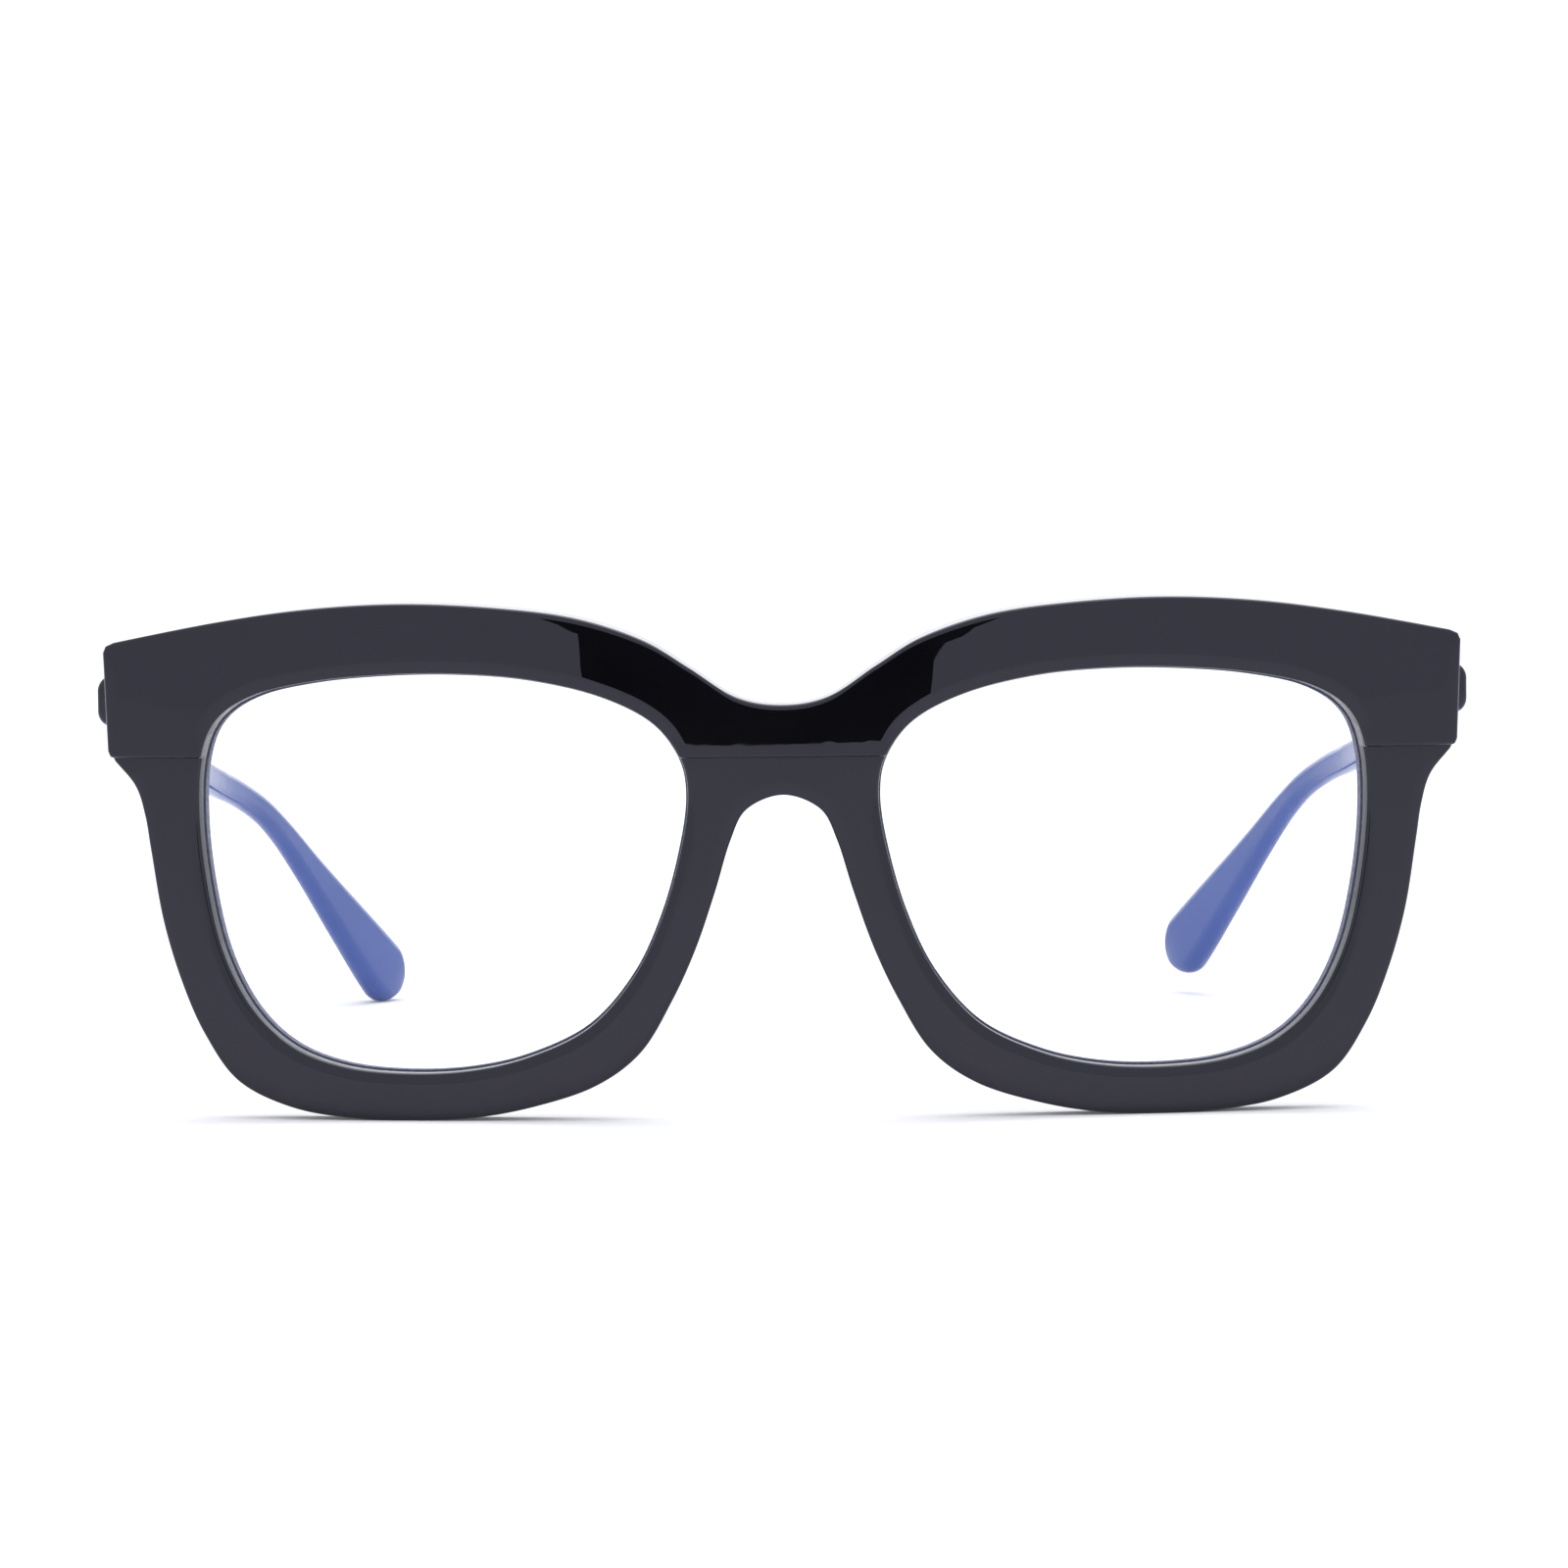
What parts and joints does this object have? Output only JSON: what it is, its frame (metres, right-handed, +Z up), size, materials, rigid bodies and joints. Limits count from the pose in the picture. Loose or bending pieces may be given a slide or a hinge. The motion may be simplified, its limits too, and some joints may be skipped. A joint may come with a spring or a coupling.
{
  "type": "blue light glasses",
  "caption": "Full-rim square glasses with a raised brow, clear blue-light filter lenses and slim laminated temples that fold on barrel hinges.",
  "frame": {"origin": "on the floor that the rims stand on, midway between the brow and the temple tips, on the plane of symmetry of the front", "axes": "+Z up, -Y the way the front faces, +X towards the wearer's left"},
  "size_m": [0.148, 0.1392, 0.0555],
  "materials": {
    "black_acetate": "polished black acetate",
    "pad_acetate": "tumbled black acetate",
    "blue_acetate": "polished periwinkle blue acetate",
    "filter_lens": "clear, with a faint blue-violet residual reflection",
    "hinge_steel": "satin nickel",
    "screw_steel": "bright",
    "core_wire": "drawn nickel silver"
  },
  "bodies": {
    "front": {"front_frame": "black_acetate", "lens_left": "filter_lens", "lens_right": "filter_lens", "nose_pad_left": "pad_acetate", "nose_pad_right": "pad_acetate", "front_hinge_leaf_left": "hinge_steel", "front_hinge_leaf_right": "hinge_steel", "hinge_screw_left": "screw_steel", "hinge_screw_right": "screw_steel"},
    "temple_left": {"temple_hinge_leaf_left": "hinge_steel", "temple_outer_left": "black_acetate", "temple_inner_left": "blue_acetate", "core_wire_left": "core_wire"},
    "temple_right": {"temple_hinge_leaf_right": "hinge_steel", "temple_outer_right": "black_acetate", "temple_inner_right": "blue_acetate", "core_wire_right": "core_wire"}
  },
  "joints": [
    {"name": "left_temple_fold", "type": "hinge", "parent": "front", "child": "temple_left", "pos_m": [0.0685, -0.05395, 0.0446], "axis": [0, 0, 1], "range_deg": [0, 78]},
    {"name": "right_temple_fold", "type": "hinge", "parent": "front", "child": "temple_right", "pos_m": [-0.0685, -0.05395, 0.0446], "axis": [0, 0, -1], "range_deg": [0, 69]}
  ]
}
